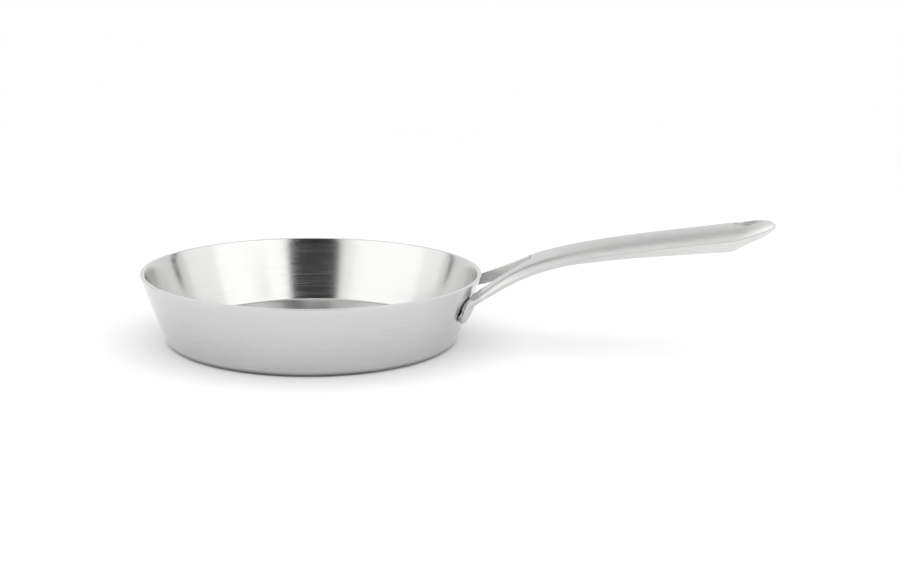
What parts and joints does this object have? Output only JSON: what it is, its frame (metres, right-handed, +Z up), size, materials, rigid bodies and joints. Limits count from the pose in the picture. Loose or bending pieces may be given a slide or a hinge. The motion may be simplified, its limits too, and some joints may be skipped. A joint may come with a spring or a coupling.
{
  "type": "omelette pan",
  "caption": "Shallow omelette pan with a flared wall of clad sheet and a forked, cast steel handle with a hanging slot, welded to the wall.",
  "frame": {"origin": "centre of the underside of the pan's base, on the surface that the pan stands on", "axes": "+Z up along the pan's axis, +X from the pan's axis along the handle, +Y to the left of the handle seen from the pan"},
  "size_m": [0.3692, 0.2, 0.0777],
  "materials": {
    "satin_steel": "satin, brushed round the pan's axis",
    "core_aluminium": "bare edge, ground flush at the rim",
    "liner_steel": "fine circular grain",
    "cast_steel": "satin on top of the grip, polished sides and fork",
    "weld_steel": "plain, hidden in the gap"
  },
  "bodies": {
    "root": {"outer_skin": "satin_steel", "aluminium_core": "core_aluminium", "inner_liner": "liner_steel", "handle": "cast_steel", "weld_nuggets": "weld_steel"}
  },
  "joints": []
}
